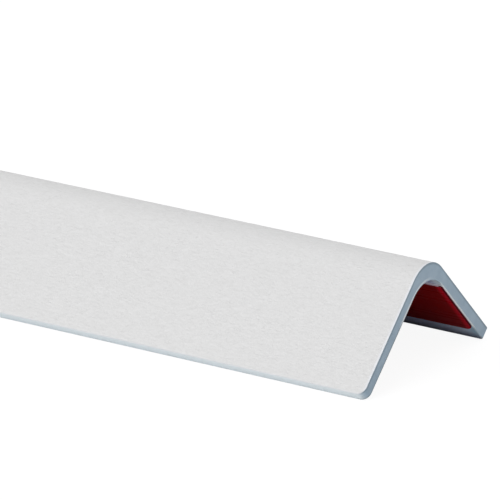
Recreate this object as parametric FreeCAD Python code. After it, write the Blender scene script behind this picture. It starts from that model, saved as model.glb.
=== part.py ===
# Corner guard moulding: a right-angle extrusion of rigid PVC, self-adhesive on its inner faces.
#
# It lies as it is stored, ridge up, on the inner edges of its two tips.
# X runs along its length, the front leg faces -Y, the back leg faces +Y, and +Z is up.
# The origin is on the floor under the middle of its length.  Sizes are in millimetres.
import FreeCAD, Part

import math
import os

from FreeCAD import Vector

# Extrusion
LENGTH = 400.0
LEG_WIDTH = 25.0
WALL = 2.0
OUTER_RADIUS = 5.5
INNER_RADIUS = 5.5
TIP_EDGE_RADIUS = 0.2

# Rounding of each leg's free corners at the cut ends, in the plane of the leg
FRONT_CORNER_RADIUS = 1.4
BACK_CORNER_RADIUS = 0.5

# Thin double-sided tape on each inner face, with its release liner still on
TAPE_FILLET_GAP = 0.6
TAPE_TIP_MARGIN = 3.3
TAPE_END_GAP = 0.15
TAPE_THICKNESS = 0.12
TAPE_UPPER_CORNER_RADIUS = 0.3
TAPE_LOWER_CORNER_RADIUS = 1.6
LINER_THICKNESS = 0.08

# How far the blanks that trim the ends reach past the section
BLANK_MARGIN = 1.0

# Directions down each leg, from the sharp corner where the outer faces would meet.
# Each leg's inward normal is the other leg's direction.
HALF_ROOT_TWO = math.sqrt(0.5)
DOWN_FRONT = Vector(0, -HALF_ROOT_TWO, -HALF_ROOT_TWO)
DOWN_BACK = Vector(0, HALF_ROOT_TWO, -HALF_ROOT_TWO)
LEGS = {"front": (DOWN_FRONT, DOWN_BACK), "back": (DOWN_BACK, DOWN_FRONT)}

# Height at which that sharp corner stands while the tips' inner edges touch the floor
CORNER_HEIGHT = (LEG_WIDTH + WALL - 2 * TIP_EDGE_RADIUS) * HALF_ROOT_TWO + TIP_EDGE_RADIUS


def place(x, offset):
    """A point at this x, with an offset from the sharp corner."""
    return Vector(x, 0, CORNER_HEIGHT) + offset


def rounded_face(corners, radii):
    """A flat face through the corners, each rounded with its own radius, or sharp where that is 0."""
    arcs = []
    for index, (corner, radius) in enumerate(zip(corners, radii)):
        following = corners[(index + 1) % len(corners)]
        to_last = (corners[index - 1] - corner).normalize()
        to_next = (following - corner).normalize()
        half_angle = to_last.getAngle(to_next) / 2
        reach = radius / math.tan(half_angle)
        cut_off = radius / math.sin(half_angle) - radius
        middle = corner + (to_last + to_next).normalize() * cut_off
        arcs.append((corner + to_last * reach, middle, corner + to_next * reach))
    edges = []
    for index, (start, middle, end) in enumerate(arcs):
        if radii[index] > 0:
            edges.append(Part.Arc(start, middle, end).toShape())
        edges.append(Part.LineSegment(end, arcs[(index + 1) % len(arcs)][0]).toShape())
    return Part.Face(Part.Wire(edges))


def extruded_bar():
    """The full-length extrusion: both legs, the rounded ridge and the heavier inner fillet."""
    section = [
        (0, 0, OUTER_RADIUS),
        (LEG_WIDTH, 0, TIP_EDGE_RADIUS),
        (LEG_WIDTH, WALL, TIP_EDGE_RADIUS),
        (WALL, WALL, INNER_RADIUS),
        (WALL, LEG_WIDTH, TIP_EDGE_RADIUS),
        (0, LEG_WIDTH, TIP_EDGE_RADIUS),
    ]
    corners = [place(-LENGTH / 2, DOWN_FRONT * front + DOWN_BACK * back) for front, back, _ in section]
    radii = [radius for _, _, radius in section]
    return rounded_face(corners, radii).extrude(Vector(LENGTH, 0, 0))


def leg_blank(down, inward, corner_radius):
    """A block with one leg's outline, rounded at its free corners, through the whole section."""
    top = down * -BLANK_MARGIN - inward * BLANK_MARGIN
    tip = down * LEG_WIDTH - inward * BLANK_MARGIN
    corners = [
        place(-LENGTH / 2, top),
        place(-LENGTH / 2, tip),
        place(LENGTH / 2, tip),
        place(LENGTH / 2, top),
    ]
    radii = [0, corner_radius, corner_radius, 0]
    return rounded_face(corners, radii).extrude(inward * (LEG_WIDTH + 2 * BLANK_MARGIN))


def guard_profile():
    """The extrusion cut to length, with the free corners of both legs rounded off."""
    profile = extruded_bar()
    profile = profile.common(leg_blank(DOWN_FRONT, DOWN_BACK, FRONT_CORNER_RADIUS))
    profile = profile.common(leg_blank(DOWN_BACK, DOWN_FRONT, BACK_CORNER_RADIUS))
    return profile.Solids[0]


def inner_strip(down, inward, depth, thickness):
    """A strip along one leg's inner side, starting at this depth below the outer face."""
    top = down * (WALL + INNER_RADIUS + TAPE_FILLET_GAP) + inward * depth
    bottom = down * (LEG_WIDTH - TAPE_TIP_MARGIN) + inward * depth
    end = LENGTH / 2 - TAPE_END_GAP
    corners = [
        place(-end, top),
        place(-end, bottom),
        place(end, bottom),
        place(end, top),
    ]
    radii = [
        TAPE_UPPER_CORNER_RADIUS,
        TAPE_LOWER_CORNER_RADIUS,
        TAPE_LOWER_CORNER_RADIUS,
        TAPE_UPPER_CORNER_RADIUS,
    ]
    return rounded_face(corners, radii).extrude(inward * thickness)


def build():
    """Every piece by its node's name."""
    nodes = {"guard_profile": guard_profile()}
    for leg, (down, inward) in LEGS.items():
        nodes[leg + "_tape"] = inner_strip(down, inward, WALL, TAPE_THICKNESS)
        nodes[leg + "_liner"] = inner_strip(down, inward, WALL + TAPE_THICKNESS, LINER_THICKNESS)
    return nodes


os.makedirs("parts", exist_ok=True)
for name, shape in build().items():
    shape.exportStep("parts/" + name + ".step")
    print(name, "volume", round(shape.Volume, 1), "box", shape.BoundBox)
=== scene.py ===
import math

import bmesh
import bpy
from mathutils import Matrix, Vector


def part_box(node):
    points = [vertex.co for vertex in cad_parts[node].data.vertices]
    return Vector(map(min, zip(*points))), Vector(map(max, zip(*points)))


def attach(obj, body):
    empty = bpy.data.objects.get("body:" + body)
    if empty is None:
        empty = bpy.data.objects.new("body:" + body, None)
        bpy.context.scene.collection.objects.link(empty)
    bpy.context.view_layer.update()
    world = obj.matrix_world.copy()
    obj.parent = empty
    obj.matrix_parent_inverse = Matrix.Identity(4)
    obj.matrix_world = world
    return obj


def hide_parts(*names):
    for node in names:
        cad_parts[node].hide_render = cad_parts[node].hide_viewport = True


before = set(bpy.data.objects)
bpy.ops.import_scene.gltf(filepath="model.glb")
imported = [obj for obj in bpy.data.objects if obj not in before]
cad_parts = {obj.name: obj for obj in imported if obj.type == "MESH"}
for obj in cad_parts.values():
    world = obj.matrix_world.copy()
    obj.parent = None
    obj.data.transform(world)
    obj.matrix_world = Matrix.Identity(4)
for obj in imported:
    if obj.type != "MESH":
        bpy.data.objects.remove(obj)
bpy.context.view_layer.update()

# The corner guard moulding: meshes with fine roundings, their finishes, and a plain studio.
# Lengths are in metres.
MM = 0.001

# The extrusion, as in the CAD model
LEG_WIDTH = 25.0 * MM
WALL = 2.0 * MM
OUTER_RADIUS = 5.5 * MM
INNER_RADIUS = 5.5 * MM
TIP_EDGE_RADIUS = 0.2 * MM
FRONT_CORNER_RADIUS = 1.4 * MM
BACK_CORNER_RADIUS = 0.5 * MM
HALF_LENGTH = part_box("guard_profile")[1].x

# The tape and its liner, as in the CAD model
TAPE_FILLET_GAP = 0.6 * MM
TAPE_TIP_MARGIN = 3.3 * MM
TAPE_HALF_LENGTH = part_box("front_tape")[1].x
TAPE_THICKNESS = 0.12 * MM
TAPE_UPPER_CORNER_RADIUS = 0.3 * MM
TAPE_LOWER_CORNER_RADIUS = 1.6 * MM
LINER_THICKNESS = 0.08 * MM

# Small roundings that only the looks have. A cut end has one for its outer and one for its inner edge
CUT_EDGE_RADII = (0.08 * MM, 0.2 * MM)
TAPE_EDGE_RADIUS = 0.02 * MM

# How the tape and liner are pressed down where the end was cut, and ripple between
PRESSED_LENGTH = 1.1 * MM
PRESSED_SHARE = 0.4
RIPPLE_SHARE = 0.06
RIPPLE_LENGTH = 31.0 * MM
SLOW_RIPPLE_LENGTH = 2.3 * RIPPLE_LENGTH

# Fineness of the meshes
ARC_STEPS = 28
CORNER_STEPS = 8
LEG_STEPS = 8
ROUNDING_STEPS = 4
LONG_STEPS = 40
END_STATIONS = 6

QUARTER_TURN = math.pi / 2
HALF_ROOT_TWO = math.sqrt(0.5)

# Directions down each leg, from the sharp corner where the outer faces would meet.
# Each leg's inward normal is the other leg's direction.
DOWN_FRONT = Vector((0, -HALF_ROOT_TWO, -HALF_ROOT_TWO))
DOWN_BACK = Vector((0, HALF_ROOT_TWO, -HALF_ROOT_TWO))
LEGS = {"front": (DOWN_FRONT, DOWN_BACK), "back": (DOWN_BACK, DOWN_FRONT)}

# Height at which that sharp corner stands while the tips' inner edges touch the floor
CORNER_HEIGHT = (LEG_WIDTH + WALL - 2 * TIP_EDGE_RADIUS) * HALF_ROOT_TWO + TIP_EDGE_RADIUS
CORNER = Vector((0, 0, CORNER_HEIGHT))

# Heights of the inner fillet's top, and of the tape's upper edge on the inner faces
FILLET_TOP_HEIGHT = CORNER_HEIGHT - 2 * (WALL + INNER_RADIUS) * HALF_ROOT_TWO + INNER_RADIUS
TAPE_TOP_HEIGHT = CORNER_HEIGHT - (2 * WALL + INNER_RADIUS + TAPE_FILLET_GAP) * HALF_ROOT_TWO


class Column:
    """One line through a plate at its cut end, from its first face to its second.

    first and second are its places on the two faces, and into_first and into_second lead from
    there into the plate. The cut end lies at x_end. plan is the way that the rim faces there,
    along X and down the leg, and roundings are the radii of the rim's first and second edge.
    """

    def __init__(self, first, into_first, second, into_second, x_end, plan, down, roundings):
        self.first = first
        self.into_first = into_first
        self.second = second
        self.into_second = into_second
        self.x_end = x_end
        self.plan = plan
        self.down = down
        self.roundings = roundings

    def layers(self):
        """Points through the plate: (y and z place, x, normal at +X, depths below its two faces)."""
        along, across = self.plan
        outward = self.down * across
        thickness = (self.second - self.first).length
        steps = range(ROUNDING_STEPS + 1)
        sides = (
            (self.first, self.into_first, self.roundings[0], steps, 0, 1),
            (self.second, self.into_second, self.roundings[1], reversed(steps), thickness, -1),
        )
        result = []
        for face, into, rounding, order, face_depth, sign in sides:
            for step in order:
                angle = QUARTER_TURN * step / ROUNDING_STEPS
                inset = rounding * (1 - math.sin(angle))
                depth = rounding * (1 - math.cos(angle))
                point = face + into * depth - outward * inset
                side = Vector((along, outward.y, outward.z)) * math.sin(angle)
                normal = side - into * math.cos(angle)
                below_first = face_depth + sign * depth
                depths = (below_first, thickness - below_first)
                result.append((point, self.x_end - along * inset, normal, depths))
        return result


def plate_columns(leg, depth, thickness, end, span, radii, cut, tip):
    """Columns of a flat plate on one leg, up to x = end, over this span down the leg.

    radii are those of its free corners at the two ends of the span, the first 0 where it has none.
    cut and tip are the roundings of its first and second edge, at the cut end and along the leg.
    """
    down, into = LEGS[leg]
    start, stop = span

    def column(distance, x_end=end, plan=(1, 0), turn=0.0):
        """The column this far down the leg. turn goes from 0 on the cut end to 1 along the leg."""
        edges = [at_cut + (at_tip - at_cut) * turn for at_cut, at_tip in zip(cut, tip)]
        first = CORNER + down * distance + into * depth
        return Column(first, into, first + into * thickness, -into, x_end, plan, down, edges)

    def corner(edge, radius, side):
        """Columns round a free corner, from its cut end to its long edge, which faces up the leg
        where side is -1 and down it where side is 1.
        """
        columns = []
        for step in range(CORNER_STEPS + 1):
            angle = QUARTER_TURN * step / CORNER_STEPS
            distance = edge - side * radius * (1 - math.sin(angle))
            x_end = end - radius * (1 - math.cos(angle))
            plan = (math.cos(angle), side * math.sin(angle))
            columns.append(column(distance, x_end, plan, angle / QUARTER_TURN))
        return columns

    low, high = start + radii[0], stop - radii[1]
    flat = [column(low + (high - low) * step / LEG_STEPS) for step in range(1, LEG_STEPS)]
    first = corner(start, radii[0], -1)[::-1] if radii[0] else [column(start)]
    return first + flat + corner(stop, radii[1], 1)


def bend_columns():
    """Columns round the moulding's corner, between the two flat legs."""
    outer_centre = CORNER + (DOWN_FRONT + DOWN_BACK) * OUTER_RADIUS
    inner_centre = CORNER + (DOWN_FRONT + DOWN_BACK) * (WALL + INNER_RADIUS)

    def upward(step, steps):
        """The way out of the bend, at this one of the steps from the front leg to the back leg."""
        angle = QUARTER_TURN * step / steps
        return -DOWN_BACK * math.cos(angle) - DOWN_FRONT * math.sin(angle)

    columns = []
    for step in range(ARC_STEPS + 1):
        outer_up = upward(step, ARC_STEPS)
        # The inner arc's own ends are left out, because the legs' first columns stand there
        inner_up = upward(step + 1, ARC_STEPS + 2)
        outer = outer_centre + outer_up * OUTER_RADIUS
        inner = inner_centre + inner_up * INNER_RADIUS
        column = Column(outer, -outer_up, inner, inner_up, HALF_LENGTH, (1, 0), DOWN_BACK, CUT_EDGE_RADII)
        columns.append(column)
    return columns


def profile_columns():
    """Columns of the whole moulding, from the front tip over the ridge to the back tip."""
    span = (WALL + INNER_RADIUS, LEG_WIDTH)
    edges = (CUT_EDGE_RADII, (TIP_EDGE_RADIUS, TIP_EDGE_RADIUS))
    front = plate_columns("front", 0, WALL, HALF_LENGTH, span, (0, FRONT_CORNER_RADIUS), *edges)
    back = plate_columns("back", 0, WALL, HALF_LENGTH, span, (0, BACK_CORNER_RADIUS), *edges)
    return front[::-1] + bend_columns() + back


def strip_columns(leg, depth, thickness):
    """Columns of a strip of tape or film on one leg's inner side, in the moulding's order."""
    span = (WALL + INNER_RADIUS + TAPE_FILLET_GAP, LEG_WIDTH - TAPE_TIP_MARGIN)
    radii = (TAPE_UPPER_CORNER_RADIUS, TAPE_LOWER_CORNER_RADIUS)
    edges = (TAPE_EDGE_RADIUS, TAPE_EDGE_RADIUS)
    columns = plate_columns(leg, depth, thickness, TAPE_HALF_LENGTH, span, radii, edges, edges)
    return columns[::-1] if leg == "front" else columns


def long_stations():
    """Shares of the half length from the +X end to the -X end, closer together near the ends."""
    near_end = [1 - PRESSED_LENGTH * step / END_STATIONS / HALF_LENGTH for step in range(END_STATIONS + 1)]
    inner = near_end[-1]
    middle = [inner * (1 - 2 * step / LONG_STEPS) for step in range(1, LONG_STEPS)]
    return near_end + middle + [-share for share in reversed(near_end)]


class Plate:
    """A closed mesh of quads, made by repeating a plate's columns at stations along X.

    Its faces are of four kinds: first and second are its two sides, edge is the rounding of a cut
    end's second edge, and rim is all the rest of its outline.
    """

    def __init__(self, columns):
        self.layers = [column.layers() for column in columns]
        self.stations = long_stations()
        self.last = len(columns) - 1
        self.end = len(self.stations) - 1
        self.top = len(self.layers[0]) - 1
        self.points = []
        self.normals = []
        self.depths = []
        self.numbers = {}
        self.quads = []
        self.kinds = []
        for index in range(self.last + 1):
            for station in range(self.end + 1):
                self.add_points(index, station)
        self.add_sides()
        self.add_outline()

    def add_points(self, index, station):
        """One column's points at one station: all of them on the outline, and elsewhere the outer two."""
        share = self.stations[station]
        at_end = station in (0, self.end)
        on_outline = at_end or index in (0, self.last)
        for layer in range(self.top + 1) if on_outline else (0, self.top):
            point, x_end, normal, depths = self.layers[index][layer]
            self.numbers[index, station, layer] = len(self.points)
            self.points.append(Vector((x_end * share, point.y, point.z)))
            self.depths.append(depths)
            x_normal = normal.x if share > 0 else -normal.x
            self.normals.append(Vector((x_normal if at_end else 0, normal.y, normal.z)).normalized())

    def add_quad(self, corners, kind):
        self.quads.append([self.numbers[corner] for corner in corners])
        self.kinds.append(kind)

    def add_sides(self):
        """The first and the second side of the plate."""
        for index in range(self.last):
            for station in range(self.end):
                square = [
                    (index, station),
                    (index + 1, station),
                    (index + 1, station + 1),
                    (index, station + 1),
                ]
                self.add_quad([(*place, 0) for place in square], "first")
                self.add_quad([(*place, self.top) for place in reversed(square)], "second")

    def add_outline(self):
        """The cut ends and the long edges, with their roundings."""
        loop = [(index, 0) for index in range(self.last)]
        loop += [(self.last, station) for station in range(self.end)]
        loop += [(index, self.end) for index in range(self.last, 0, -1)]
        loop += [(0, station) for station in range(self.end, 0, -1)]
        for here, there in zip(loop, loop[1:] + loop[:1]):
            at_cut = here[1] == there[1]
            for layer in range(self.top):
                kind = "edge" if at_cut and layer > ROUNDING_STEPS else "rim"
                corners = [(*there, layer), (*here, layer), (*here, layer + 1), (*there, layer + 1)]
                self.add_quad(corners, kind)

    def to_object(self, name, materials, replaced):
        """The mesh as an object that stands for a CAD node, with materials by the kind of face.

        A kind that has no material of its own takes the first one.
        """
        mesh = bpy.data.meshes.new(name)
        mesh.from_pydata([point[:] for point in self.points], [], self.quads)
        names = list(materials)
        for material in materials.values():
            mesh.materials.append(material)
        for polygon, kind in zip(mesh.polygons, self.kinds):
            polygon.use_smooth = True
            polygon.material_index = names.index(kind) if kind in names else 0
        for side, depths in zip(("below_first", "below_second"), zip(*self.depths)):
            mesh.attributes.new(side, "FLOAT", "POINT").data.foreach_set("value", depths)
        mesh.normals_split_custom_set_from_vertices([normal[:] for normal in self.normals])
        mesh.update()
        piece = bpy.data.objects.new(name, mesh)
        bpy.context.scene.collection.objects.link(piece)
        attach(piece, "root")
        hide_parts(replaced)


def settle_strip(plate, leg):
    """Presses a strip's cut ends towards the leg, and gives the rest of it a slow ripple."""
    into = LEGS[leg][1]
    for index, point in enumerate(plate.points):
        height = (point - CORNER).dot(into) - WALL
        from_end = TAPE_HALF_LENGTH - abs(point.x)
        pressed = max(0.0, 1 - from_end / PRESSED_LENGTH)
        wave = math.sin(math.tau * point.x / RIPPLE_LENGTH)
        slow_wave = math.sin(math.tau * point.x / SLOW_RIPPLE_LENGTH)
        change = -PRESSED_SHARE * pressed ** 2 + RIPPLE_SHARE * (wave * slow_wave - 1) * (1 - pressed)
        plate.points[index] = point + into * height * change
        slope = 2 * PRESSED_SHARE * pressed / PRESSED_LENGTH * height
        normal = plate.normals[index]
        tilt = Vector((math.copysign(slope, point.x), 0, 0)) * normal.dot(into)
        plate.normals[index] = (normal + tilt).normalized()


# The numbers of a mix node's sockets for its two colours and its result
FIRST_COLOUR = 6
SECOND_COLOUR = 7
MIXED_COLOUR = 2

# Noise lies round this middle, and most of it in this range
NOISE_MIDDLE = 0.5
NOISE_RANGE = (0.3, 0.7)

# Between these two values of y, the front leg's finish gives way to the back leg's
FRONT_TO_BACK = (-3 * MM, 2 * MM)

# The front leg's lower part ends between these two heights
FRONT_LOW_FADE = (8.6 * MM, 10 * MM)


class Nodes:
    """A material's node tree, with short calls for the nodes that these materials share.

    A fade is a pair of distances: what it fades is full up to the first and gone at the second.
    """

    def __init__(self, name):
        self.material = bpy.data.materials.new(name)
        self.material.use_nodes = True
        self.tree = self.material.node_tree
        self.shader = self.tree.nodes["Principled BSDF"]
        self.place = self.tree.nodes.new("ShaderNodeTexCoord").outputs["Object"]

    def join(self, source, target):
        self.tree.links.new(source, target)

    def math(self, operation, first, second=0.0):
        node = self.tree.nodes.new("ShaderNodeMath")
        node.operation = operation
        for socket, value in zip(node.inputs, (first, second)):
            if isinstance(value, (int, float)):
                socket.default_value = value
            else:
                self.join(value, socket)
        return node.outputs["Value"]

    def away_from(self, value, middle):
        """How far the value is from the middle, to either side."""
        return self.math("ABSOLUTE", self.math("SUBTRACT", value, middle))

    def spread(self, value, low, high, to_low, to_high):
        """The value from low..high to to_low..to_high, held at the ends."""
        node = self.tree.nodes.new("ShaderNodeMapRange")
        node.interpolation_type = "SMOOTHSTEP"
        for name, number in (("From Min", low), ("From Max", high), ("To Min", to_low), ("To Max", to_high)):
            node.inputs[name].default_value = number
        self.join(value, node.inputs["Value"])
        return node.outputs["Result"]

    def mix(self, factor, first, second):
        """A colour between first and second, each a colour or an output."""
        node = self.tree.nodes.new("ShaderNodeMix")
        node.data_type = "RGBA"
        self.join(factor, node.inputs["Factor"])
        for socket, value in ((node.inputs[FIRST_COLOUR], first), (node.inputs[SECOND_COLOUR], second)):
            if isinstance(value, tuple):
                socket.default_value = (*value, 1)
            else:
                self.join(value, socket)
        return node.outputs[MIXED_COLOUR]

    def noise(self, scale, stretch=(1, 1, 1), detail=2.0, roughness=0.5, distortion=0.0):
        """Noise in the part's own frame, scale cells to the metre, drawn out where stretch is under 1."""
        mapping = self.tree.nodes.new("ShaderNodeMapping")
        mapping.inputs["Scale"].default_value = stretch
        noise = self.tree.nodes.new("ShaderNodeTexNoise")
        noise.inputs["Scale"].default_value = scale
        noise.inputs["Detail"].default_value = detail
        noise.inputs["Roughness"].default_value = roughness
        noise.inputs["Distortion"].default_value = distortion
        self.join(self.place, mapping.inputs["Vector"])
        self.join(mapping.outputs["Vector"], noise.inputs["Vector"])
        return noise.outputs["Fac"]

    def mottle(self, noise, dark, pale, between=NOISE_RANGE):
        """A colour that goes from dark to pale as the noise goes over the range between."""
        return self.mix(self.spread(noise, *between, 0, 1), dark, pale)

    def bump(self, height, distance):
        node = self.tree.nodes.new("ShaderNodeBump")
        node.inputs["Distance"].default_value = distance
        self.join(height, node.inputs["Height"])
        self.join(node.outputs["Normal"], self.shader.inputs["Normal"])

    def parts_of(self, vector):
        """A vector's outputs X, Y and Z."""
        split = self.tree.nodes.new("ShaderNodeSeparateXYZ")
        self.join(vector, split.inputs["Vector"])
        return split.outputs

    def coordinate(self, axis):
        """The place along this axis of the part's own frame."""
        return self.parts_of(self.place)[axis]

    def facing(self):
        """The surface normal's outputs X, Y and Z."""
        return self.parts_of(self.tree.nodes.new("ShaderNodeNewGeometry").outputs["Normal"])

    def near_face(self, side, fade):
        """1 at one of a plate's sides, fading into the plate."""
        node = self.tree.nodes.new("ShaderNodeAttribute")
        node.attribute_name = side
        return self.spread(node.outputs["Fac"], *fade, 1, 0)

    def near_floor(self, fade):
        """1 at the floor, fading upwards."""
        return self.spread(self.coordinate("Z"), *fade, 1, 0)

    def near_end(self, end, fade):
        """1 at both ends, at x = end and x = -end, fading towards the middle."""
        full, gone = fade
        from_middle = self.math("ABSOLUTE", self.coordinate("X"))
        return self.spread(from_middle, end - gone, end - full, 0, 1)

    def on_front(self, share):
        """The share on the front leg, and 0 on the back leg."""
        return self.math("MULTIPLY", self.spread(self.coordinate("Y"), *FRONT_TO_BACK, 1, 0), share)

    def low_on_front(self):
        """1 on the front leg's lower part, and 0 elsewhere."""
        return self.on_front(self.near_floor(FRONT_LOW_FADE))

    def high_on_front(self):
        """1 on the front leg's upper part, and 0 elsewhere."""
        return self.on_front(self.math("SUBTRACT", 1.0, self.near_floor(FRONT_LOW_FADE)))

    def finish(self, colour, roughness, specular=0.5):
        """Sets the colour from an output, the roughness from a number or an output, and the gloss."""
        self.join(colour, self.shader.inputs["Base Color"])
        if isinstance(roughness, float):
            self.shader.inputs["Roughness"].default_value = roughness
        else:
            self.join(roughness, self.shader.inputs["Roughness"])
        self.shader.inputs["Specular IOR Level"].default_value = specular
        return self.material


# The outer faces: the crepe, the wrinkles that stand up in it, and a painted highlight line beside the cut.
# The reach of a wrinkle is in the noise's own units, and the roughness is that on it and off it.
CREPE_DARK = (0.773, 0.772, 0.773)
CREPE_PALE = (0.808, 0.807, 0.81)
CREPE_BUMP = 0.12 * MM
WRINKLE_WEIGHT = -1.2
WRINKLE_REACH = 0.2
WRINKLE_ROUGHNESS = (0.46, 0.56)
PAINTED_CUT_HIGHLIGHT = (0.86, 0.88, 0.92)
PAINTED_CUT_HIGHLIGHT_FADE = (0.2 * MM, 0.46 * MM)


def embossed_skin():
    """White PVC with the fine crepe that is rolled into the outer faces, and a painted highlight along the
    cut edge.
    """
    nodes = Nodes("pvc_embossed")
    crepe = nodes.noise(3200, stretch=(0.33, 1, 1), roughness=0.6, distortion=0.8)
    off_wrinkle = nodes.away_from(nodes.noise(2300, stretch=(0.35, 1, 1)), NOISE_MIDDLE)
    nodes.bump(nodes.math("ADD", crepe, nodes.math("MULTIPLY", off_wrinkle, WRINKLE_WEIGHT)), CREPE_BUMP)
    colour = nodes.mottle(crepe, CREPE_DARK, CREPE_PALE)
    # Painted highlight along the cut edge
    colour = nodes.mix(nodes.near_end(HALF_LENGTH, PAINTED_CUT_HIGHLIGHT_FADE), colour, PAINTED_CUT_HIGHLIGHT)
    roughness = nodes.spread(off_wrinkle, 0, WRINKLE_REACH, *WRINKLE_ROUGHNESS)
    return nodes.finish(colour, roughness, specular=0.3)


# The cut ends: the sawn face, painted blue-grey as the white PVC in shade, a painted shade line along its
# outer edge, and along its inner edge a painted highlight line high on the front leg and a painted shade
# line low on it
CUT_PAINTED_SHADE_DARK = (0.395, 0.525, 0.645)
CUT_PAINTED_SHADE_PALE = (0.46, 0.59, 0.71)
SAW_MARK_BUMP = 0.02 * MM
OUTER_SHADE_LINE = (0.26, 0.36, 0.44)
OUTER_SHADE_LINE_FADE = (0.12 * MM, 0.5 * MM)
PAINTED_HIGHLIGHT_LINE = (0.88, 0.93, 0.97)
PAINTED_HIGHLIGHT_LINE_FADE = (0.38 * MM, 0.65 * MM)
SHADED_LINE = (0.28, 0.36, 0.41)
SHADED_LINE_FADE = (0.2 * MM, 0.5 * MM)

# The tips: their finish goes from underneath to the side as their normal's z goes over this range. Where
# they face down they are painted paler and bluer, as painted light.
TIP_PAINTED_LIGHT_UNDERNEATH = (0.88, 0.95, 0.99)
TIP_SIDE = (0.76, 0.77, 0.79)
TIP_TURN = (-0.6, 0)

# The rim's finish goes from the tips' to the cut ends' as its normal's x goes over this range
SAWN_FACING = (0.15, 0.95)


def bare_rim():
    """The tips, as extruded and painted paler where they face down, and the cut ends, painted blue-grey as
    shade, with the saw's marks and painted lines of shade and highlight.
    """
    nodes = Nodes("pvc_rim")
    facing = nodes.facing()
    on_end = nodes.math("ABSOLUTE", facing["X"])
    marks = nodes.noise(3200, stretch=(1, 1, 0.18))
    nodes.bump(nodes.math("MULTIPLY", marks, on_end), SAW_MARK_BUMP)
    # The cut end's blue-grey is painted shade
    cut = nodes.mottle(nodes.noise(420), CUT_PAINTED_SHADE_DARK, CUT_PAINTED_SHADE_PALE)
    # A painted shade line along the cut's outer edge
    cut = nodes.mix(nodes.near_face("below_first", OUTER_SHADE_LINE_FADE), cut, OUTER_SHADE_LINE)
    # A painted highlight line along the cut's inner edge, high on the front leg
    highlight_mask = nodes.near_face("below_second", PAINTED_HIGHLIGHT_LINE_FADE)
    cut = nodes.mix(nodes.math("MULTIPLY", highlight_mask, nodes.high_on_front()), cut, PAINTED_HIGHLIGHT_LINE)
    shaded = nodes.near_face("below_second", SHADED_LINE_FADE)
    cut = nodes.mix(nodes.math("MULTIPLY", shaded, nodes.low_on_front()), cut, SHADED_LINE)
    # The tips are painted paler and bluer where they face down, as painted light
    tip = nodes.mix(nodes.spread(facing["Z"], *TIP_TURN, 0, 1), TIP_PAINTED_LIGHT_UNDERNEATH, TIP_SIDE)
    colour = nodes.mix(nodes.spread(on_end, *SAWN_FACING, 0, 1), tip, cut)
    return nodes.finish(colour, roughness=0.5)


# The inner faces, painted bluish as shade, and paler with painted light below the tape near the ends, and in
# a band right beside the cut
INSIDE_PAINTED_SHADE_DARK = (0.48, 0.5, 0.7)
INSIDE_PAINTED_SHADE_PALE = (0.55, 0.57, 0.8)
DIE_LINE_BUMP = 0.012 * MM
BELOW_TAPE = (0.5, 0.58, 0.8)
BELOW_TAPE_FADE = (0, 8 * MM)
BELOW_TAPE_PAINTED_LIGHT = (0.68, 0.82, 0.98)
BELOW_TAPE_PAINTED_LIGHT_FADE = (2 * MM, 12 * MM)
PAINTED_LIGHT_BY_CUT = (0.76, 0.88, 0.95)
PAINTED_LIGHT_BY_CUT_FADE = (0.3 * MM, 2.4 * MM)
PAINTED_LIGHT_BY_CUT_LOW = (0.43, 0.63, 0.78)
PAINTED_LIGHT_BY_CUT_LOW_FADE = (2 * MM, 6 * MM)

# The adhesive that shows along the tape's upper edge, and painted shade along the inner faces' lower edge by
# the floor
ADHESIVE = (0.95, 0.86, 0.93)
ADHESIVE_FADE = (0.12 * MM, 0.26 * MM)
PAINTED_SHADE_AT_FLOOR = (0.2, 0.23, 0.32)
PAINTED_SHADE_AT_FLOOR_FADE = (0, 1.9 * MM)


def bare_inside():
    """The smooth inner faces, with faint lines that the die drew along them, painted bluish as shade, with
    painted light near the cut ends and painted shade by the floor.
    """
    nodes = Nodes("pvc_inside")
    nodes.bump(nodes.noise(2600, stretch=(0.004, 1, 1)), DIE_LINE_BUMP)
    # The bluish inner colour is painted shade
    colour = nodes.mottle(nodes.noise(160, stretch=(0.2, 1, 1)), INSIDE_PAINTED_SHADE_DARK, INSIDE_PAINTED_SHADE_PALE)
    # Below the tape: painted shade, paler near the ends with painted light
    at_end = nodes.near_end(HALF_LENGTH, BELOW_TAPE_PAINTED_LIGHT_FADE)
    below_tape = nodes.mix(at_end, BELOW_TAPE, BELOW_TAPE_PAINTED_LIGHT)
    colour = nodes.mix(nodes.near_floor(BELOW_TAPE_FADE), colour, below_tape)
    # A band of painted light beside the cut, dimmer near the floor
    band = nodes.mix(nodes.near_floor(PAINTED_LIGHT_BY_CUT_LOW_FADE), PAINTED_LIGHT_BY_CUT, PAINTED_LIGHT_BY_CUT_LOW)
    colour = nodes.mix(nodes.near_end(HALF_LENGTH, PAINTED_LIGHT_BY_CUT_FADE), colour, band)
    from_tape = nodes.away_from(nodes.coordinate("Z"), TAPE_TOP_HEIGHT)
    colour = nodes.mix(nodes.spread(from_tape, *ADHESIVE_FADE, 1, 0), colour, ADHESIVE)
    # Painted shade by the floor
    colour = nodes.mix(nodes.near_floor(PAINTED_SHADE_AT_FLOOR_FADE), colour, PAINTED_SHADE_AT_FLOOR)
    return nodes.finish(colour, roughness=0.45)


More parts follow.
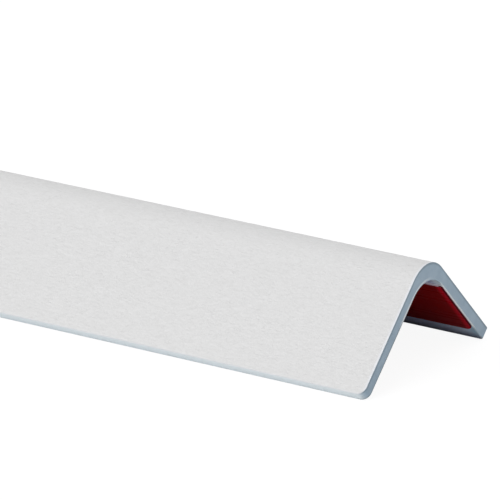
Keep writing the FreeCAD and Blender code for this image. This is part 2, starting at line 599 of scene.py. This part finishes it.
# The inner edge of a cut end, a painted highlight, which gives way to painted shade over the bend, low on
# the front leg and at the tips. The bend's colour sets in over its range of heights.
PAINTED_HIGHLIGHT_DARK = (0.84, 0.92, 0.97)
PAINTED_HIGHLIGHT_PALE = (0.94, 0.98, 1.0)
FLECK_BUMP = 0.02 * MM
OVER_BEND = (0.45, 0.59, 0.7)
OVER_BEND_HEIGHTS = (FILLET_TOP_HEIGHT - 2.2 * MM, FILLET_TOP_HEIGHT - 0.8 * MM)
LOW_ON_FRONT = (0.31, 0.4, 0.46)
NEAR_TIP = (0.5, 0.63, 0.73)
NEAR_TIP_FADE = (2 * MM, 3.4 * MM)
AT_TIP = (0.3, 0.34, 0.4)
AT_TIP_FADE = (0, 1.2 * MM)


def painted_highlight_edge():
    """The rounded inner edge of a cut end, painted pale as a highlight."""
    nodes = Nodes("pvc_cut_edge")
    flecks = nodes.noise(2400)
    nodes.bump(flecks, FLECK_BUMP)
    # A painted highlight, with painted shade over the bend, low on the front leg and at the tips
    colour = nodes.mottle(flecks, PAINTED_HIGHLIGHT_DARK, PAINTED_HIGHLIGHT_PALE, between=(0.35, 0.65))
    colour = nodes.mix(nodes.spread(nodes.coordinate("Z"), *OVER_BEND_HEIGHTS, 0, 1), colour, OVER_BEND)
    colour = nodes.mix(nodes.low_on_front(), colour, LOW_ON_FRONT)
    colour = nodes.mix(nodes.near_floor(NEAR_TIP_FADE), colour, NEAR_TIP)
    colour = nodes.mix(nodes.near_floor(AT_TIP_FADE), colour, AT_TIP)
    return nodes.finish(colour, roughness=0.55)


# The tape's foam, the film and the film's pale core. Where the end was cut the film is pressed
# down, and a painted sheen makes it brighter there. Right at the cut it has painted shade, and so have both
# strips' edges.
FOAM_DARK = (0.8, 0.74, 0.8)
FOAM_PALE = (0.94, 0.88, 0.94)
FOAM_SHADE_AT_CUT = (0.16, 0.03, 0.05)
FOAM_BUMP = 0.03 * MM
FILM_DARK = (0.21, 0.0003, 0.0008)
FILM_PALE = (0.25, 0.0004, 0.001)
FILM_PAINTED_SHEEN = (0.5, 0.003, 0.014)
FILM_PAINTED_SHEEN_FADE = (0.7 * MM, 1.5 * MM)
FILM_SHADE_AT_CUT = (0.12, 0.001, 0.008)
FILM_SHADE_AT_CUT_FADE = (0.2 * MM, 0.42 * MM)
FILM_BUMP = 0.002 * MM
FILM_ROUGHNESS = (0.27, 0.31)
FILM_GLOSS_TINT = (1.0, 0.02, 0.04, 1)
CORE_DARK = (0.66, 0.46, 0.54)
CORE_PALE = (0.84, 0.66, 0.74)
EDGES_SHADE_AT_CUT_FADE = (0.4 * MM, 0.9 * MM)


def tape_foam():
    """Pale acrylic foam, seen at the tape's edges, with painted shade at the cut ends."""
    nodes = Nodes("tape_foam")
    pores = nodes.noise(5200, detail=3, roughness=0.7)
    nodes.bump(pores, FOAM_BUMP)
    colour = nodes.mottle(pores, FOAM_DARK, FOAM_PALE, between=(0.3, 0.6))
    # Painted shade at the cut ends
    colour = nodes.mix(nodes.near_end(TAPE_HALF_LENGTH, EDGES_SHADE_AT_CUT_FADE), colour, FOAM_SHADE_AT_CUT)
    return nodes.finish(colour, roughness=0.7, specular=0.3)


def red_film():
    """The dark red release film, with faint lines drawn along it, a painted sheen near the cut ends and
    painted shade right at them.
    """
    nodes = Nodes("liner_film")
    drawn = nodes.noise(1500, stretch=(0.01, 1, 1))
    nodes.bump(drawn, FILM_BUMP)
    colour = nodes.mottle(nodes.noise(90, stretch=(0.15, 1, 1)), FILM_DARK, FILM_PALE)
    # A painted sheen near the cut ends
    colour = nodes.mix(nodes.near_end(TAPE_HALF_LENGTH, FILM_PAINTED_SHEEN_FADE), colour, FILM_PAINTED_SHEEN)
    # Painted shade right at the cut
    colour = nodes.mix(nodes.near_end(TAPE_HALF_LENGTH, FILM_SHADE_AT_CUT_FADE), colour, FILM_SHADE_AT_CUT)
    nodes.shader.inputs["Specular Tint"].default_value = FILM_GLOSS_TINT
    return nodes.finish(colour, nodes.spread(drawn, *NOISE_RANGE, *FILM_ROUGHNESS), specular=0.03)


def film_edge():
    """The film's edges, where its pale core shows along the leg, with painted shade at the cut ends."""
    nodes = Nodes("liner_edge")
    colour = nodes.mottle(nodes.noise(4200), CORE_DARK, CORE_PALE)
    # Painted shade at the cut ends
    colour = nodes.mix(nodes.near_end(TAPE_HALF_LENGTH, EDGES_SHADE_AT_CUT_FADE), colour, FILM_SHADE_AT_CUT)
    return nodes.finish(colour, roughness=0.5, specular=0.2)


def build_pieces():
    """The moulding, its two tapes and their two liners."""
    skin = {"first": embossed_skin(), "rim": bare_rim(), "second": bare_inside(), "edge": painted_highlight_edge()}
    Plate(profile_columns()).to_object("moulding", skin, "guard_profile")
    foam = {"first": tape_foam()}
    film = {"first": red_film(), "rim": film_edge()}
    for leg in LEGS:
        tape = Plate(strip_columns(leg, WALL, TAPE_THICKNESS))
        settle_strip(tape, leg)
        tape.to_object(leg + "_tape_strip", foam, leg + "_tape")
        liner = Plate(strip_columns(leg, WALL + TAPE_THICKNESS, LINER_THICKNESS))
        settle_strip(liner, leg)
        liner.to_object(leg + "_liner_film", film, leg + "_liner")


# The camera, found from the photograph's edges: where it stands from the near end's corner, and its aim
CAMERA_AZIMUTH = 31.464
CAMERA_ELEVATION = 18.697
CAMERA_DISTANCE = 0.8522
AIM_AZIMUTH = 33.336
AIM_ELEVATION = 18.723
CAMERA_ROLL = math.radians(0.198)
FOCAL_LENGTH_MM = 414.98
SENSOR_WIDTH_MM = 36.0
CLIP_START = 0.01
CLIP_END = 20.0


def direction(azimuth, elevation):
    """Unit vector towards a camera or lamp at this azimuth and elevation, in degrees."""
    turn = math.radians(azimuth)
    rise = math.radians(elevation)
    return Vector((math.sin(turn) * math.cos(rise), -math.cos(turn) * math.cos(rise), math.sin(rise)))


def camera_place():
    near_corner = CORNER + Vector((HALF_LENGTH, 0, 0))
    return near_corner + direction(CAMERA_AZIMUTH, CAMERA_ELEVATION) * CAMERA_DISTANCE


def matrix_of(right, up, back, place):
    """A matrix with these three axes and this place."""
    columns = [right.to_4d(), up.to_4d(), back.to_4d(), place.to_4d()]
    for column in columns[:3]:
        column.w = 0
    return Matrix(columns).transposed()


def add_camera():
    data = bpy.data.cameras.new("camera")
    data.lens = FOCAL_LENGTH_MM
    data.sensor_width = SENSOR_WIDTH_MM
    data.clip_start = CLIP_START
    data.clip_end = CLIP_END
    camera = bpy.data.objects.new("camera", data)
    bpy.context.scene.collection.objects.link(camera)
    back = direction(AIM_AZIMUTH, AIM_ELEVATION)
    right = Vector((0, 0, 1)).cross(back).normalized()
    up = back.cross(right)
    turned = right * math.cos(CAMERA_ROLL) + up * math.sin(CAMERA_ROLL)
    camera.matrix_world = matrix_of(turned, back.cross(turned), back, camera_place())
    bpy.context.scene.camera = camera


# Soft lamps: name, azimuth, elevation, strength, and how wide they look in degrees
LAMPS = (
    ("key", -25, 48, 0.4, 60),
    ("front_fill", -10, 8, 0.15, 60),
    ("back_fill", 200, 50, 0.1, 90),
)
AMBIENT = 0.4


def add_lamps():
    for name, azimuth, elevation, strength, width in LAMPS:
        data = bpy.data.lights.new(name, "SUN")
        data.energy = strength * math.pi
        data.angle = math.radians(width)
        lamp = bpy.data.objects.new(name, data)
        lamp.rotation_euler = direction(azimuth, elevation).to_track_quat("Z", "Y").to_euler()
        bpy.context.scene.collection.objects.link(lamp)


def rays(tree, *names):
    """1 for the named kinds of ray, and 0 for all others."""
    path = tree.nodes.new("ShaderNodeLightPath")
    total = path.outputs[names[0]]
    for name in names[1:]:
        node = tree.nodes.new("ShaderNodeMath")
        node.operation = "MAXIMUM"
        tree.links.new(total, node.inputs[0])
        tree.links.new(path.outputs[name], node.inputs[1])
        total = node.outputs["Value"]
    return total


def add_world():
    """An even soft light, shown as white."""
    world = bpy.data.worlds.new("studio")
    world.use_nodes = True
    bpy.context.scene.world = world
    tree = world.node_tree
    background = tree.nodes["Background"]
    background.inputs["Color"].default_value = (1, 1, 1, 1)
    strength = tree.nodes.new("ShaderNodeMapRange")
    strength.inputs["To Min"].default_value = AMBIENT
    strength.inputs["To Max"].default_value = 1
    seen = rays(tree, "Is Camera Ray", "Is Glossy Ray", "Is Transmission Ray")
    tree.links.new(seen, strength.inputs["Value"])
    tree.links.new(strength.outputs["Result"], background.inputs["Strength"])


# The floor: its own shade, the shade that gloss shows, and the shade and glow that the camera sees
FLOOR_SHADE = 0.8
FLOOR_IN_GLOSS = 1.0
FLOOR_SHOWN_SHADE = 0.16
FLOOR_SHOWN_GLOW = 0.92
FLOOR_HALF_WIDTH = 30.0


def floor_material():
    """Pale, and shown lighter still, so that it comes out white round the object's soft shadow."""
    material = bpy.data.materials.new("floor")
    material.use_nodes = True
    tree = material.node_tree
    tree.nodes.remove(tree.nodes["Principled BSDF"])

    def diffuse(shade):
        node = tree.nodes.new("ShaderNodeBsdfDiffuse")
        node.inputs["Color"].default_value = (shade, shade, shade, 1)
        return node.outputs["BSDF"]

    def chosen(factor, first, second):
        node = tree.nodes.new("ShaderNodeMixShader")
        tree.links.new(factor, node.inputs["Fac"])
        tree.links.new(first, node.inputs[1])
        tree.links.new(second, node.inputs[2])
        return node.outputs["Shader"]

    glow = tree.nodes.new("ShaderNodeEmission")
    glow.inputs["Strength"].default_value = FLOOR_SHOWN_GLOW
    shown = tree.nodes.new("ShaderNodeAddShader")
    tree.links.new(diffuse(FLOOR_SHOWN_SHADE), shown.inputs[0])
    tree.links.new(glow.outputs["Emission"], shown.inputs[1])
    # Gloss shows the floor as pale too, but as dark under the object as it is there
    reflected = chosen(rays(tree, "Is Glossy Ray"), diffuse(FLOOR_SHADE), diffuse(FLOOR_IN_GLOSS))
    seen = rays(tree, "Is Camera Ray", "Is Transmission Ray")
    surface = chosen(seen, reflected, shown.outputs["Shader"])
    tree.links.new(surface, tree.nodes["Material Output"].inputs["Surface"])
    return material


def add_floor():
    mesh = bpy.data.meshes.new("floor")
    grid = bmesh.new()
    bmesh.ops.create_grid(grid, x_segments=1, y_segments=1, size=FLOOR_HALF_WIDTH)
    grid.to_mesh(mesh)
    grid.free()
    mesh.materials.append(floor_material())
    floor = bpy.data.objects.new("floor", mesh)
    bpy.context.scene.collection.objects.link(floor)


build_pieces()
add_camera()
add_lamps()
add_world()
add_floor()
bpy.context.scene.view_settings.view_transform = "Standard"
